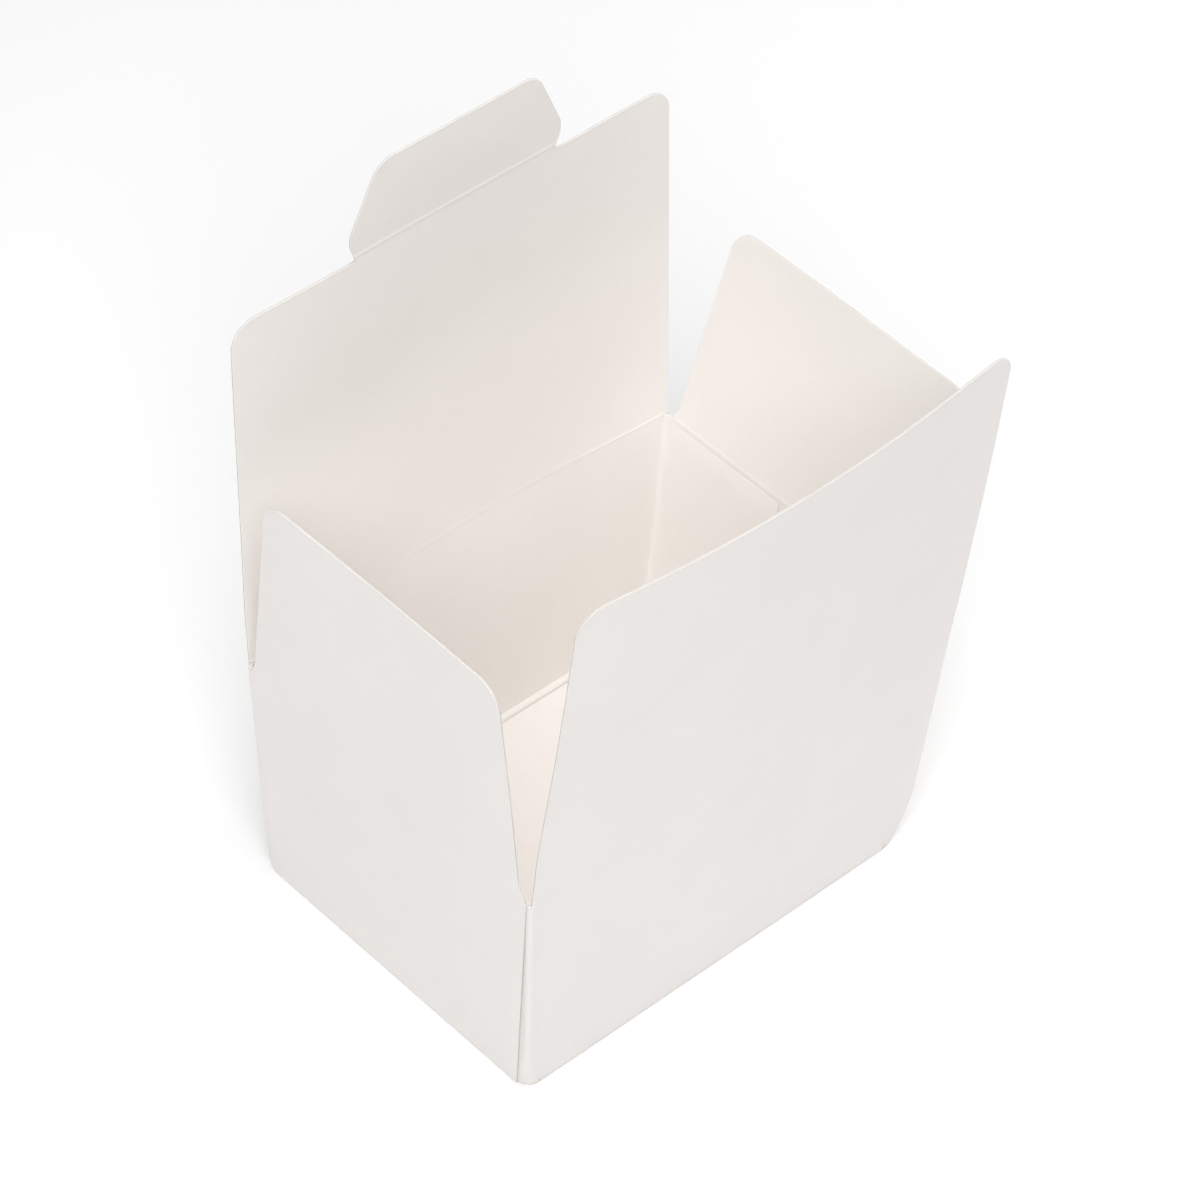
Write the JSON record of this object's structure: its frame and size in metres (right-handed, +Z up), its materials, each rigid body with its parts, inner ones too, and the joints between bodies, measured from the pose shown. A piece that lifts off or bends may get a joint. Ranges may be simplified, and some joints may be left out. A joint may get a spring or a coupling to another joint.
{
  "type": "candy box",
  "caption": "Open candy box folded from white card, with side flaps, a front flap and a hinged lid that ends in a tuck tab.",
  "frame": {"origin": "middle of the base's underside, where the box stands", "axes": "+Z up, +X along the long side towards the right flap, -Y towards the front flap"},
  "size_m": [0.1172, 0.0912, 0.1571],
  "materials": {
    "white_card": "smooth white coated card with a soft satin sheen outside and a slightly warmer uncoated inside"
  },
  "bodies": {
    "tray": {"tray": "white_card"},
    "front_flap": {"front_flap": "white_card"},
    "lid": {"lid": "white_card"},
    "tuck_tab": {"tuck_tab": "white_card"},
    "left_flap": {"left_flap": "white_card"},
    "right_flap": {"right_flap": "white_card"}
  },
  "joints": [
    {"name": "front_flap_fold", "type": "hinge", "parent": "tray", "child": "front_flap", "pos_m": [0.00034, -0.03967, 0.05652], "axis": [-1, 0, 0], "range_deg": [-60, 95.6]},
    {"name": "lid_fold", "type": "hinge", "parent": "tray", "child": "lid", "pos_m": [0.00034, 0.03889, 0.05704], "axis": [1, 0, 0], "range_deg": [-60, 55]},
    {"name": "tuck_tab_fold", "type": "hinge", "parent": "lid", "child": "tuck_tab", "pos_m": [0.00034, 0.04341, 0.13781], "axis": [1, 0, 0], "range_deg": [-30, 86]},
    {"name": "left_flap_fold", "type": "hinge", "parent": "tray", "child": "left_flap", "pos_m": [-0.05332, -0.00039, 0.056], "axis": [0, 1, 0], "range_deg": [-60, 93]},
    {"name": "right_flap_fold", "type": "hinge", "parent": "tray", "child": "right_flap", "pos_m": [0.05401, -0.00039, 0.056], "axis": [0, -1, 0], "range_deg": [-60, 99.5]}
  ]
}
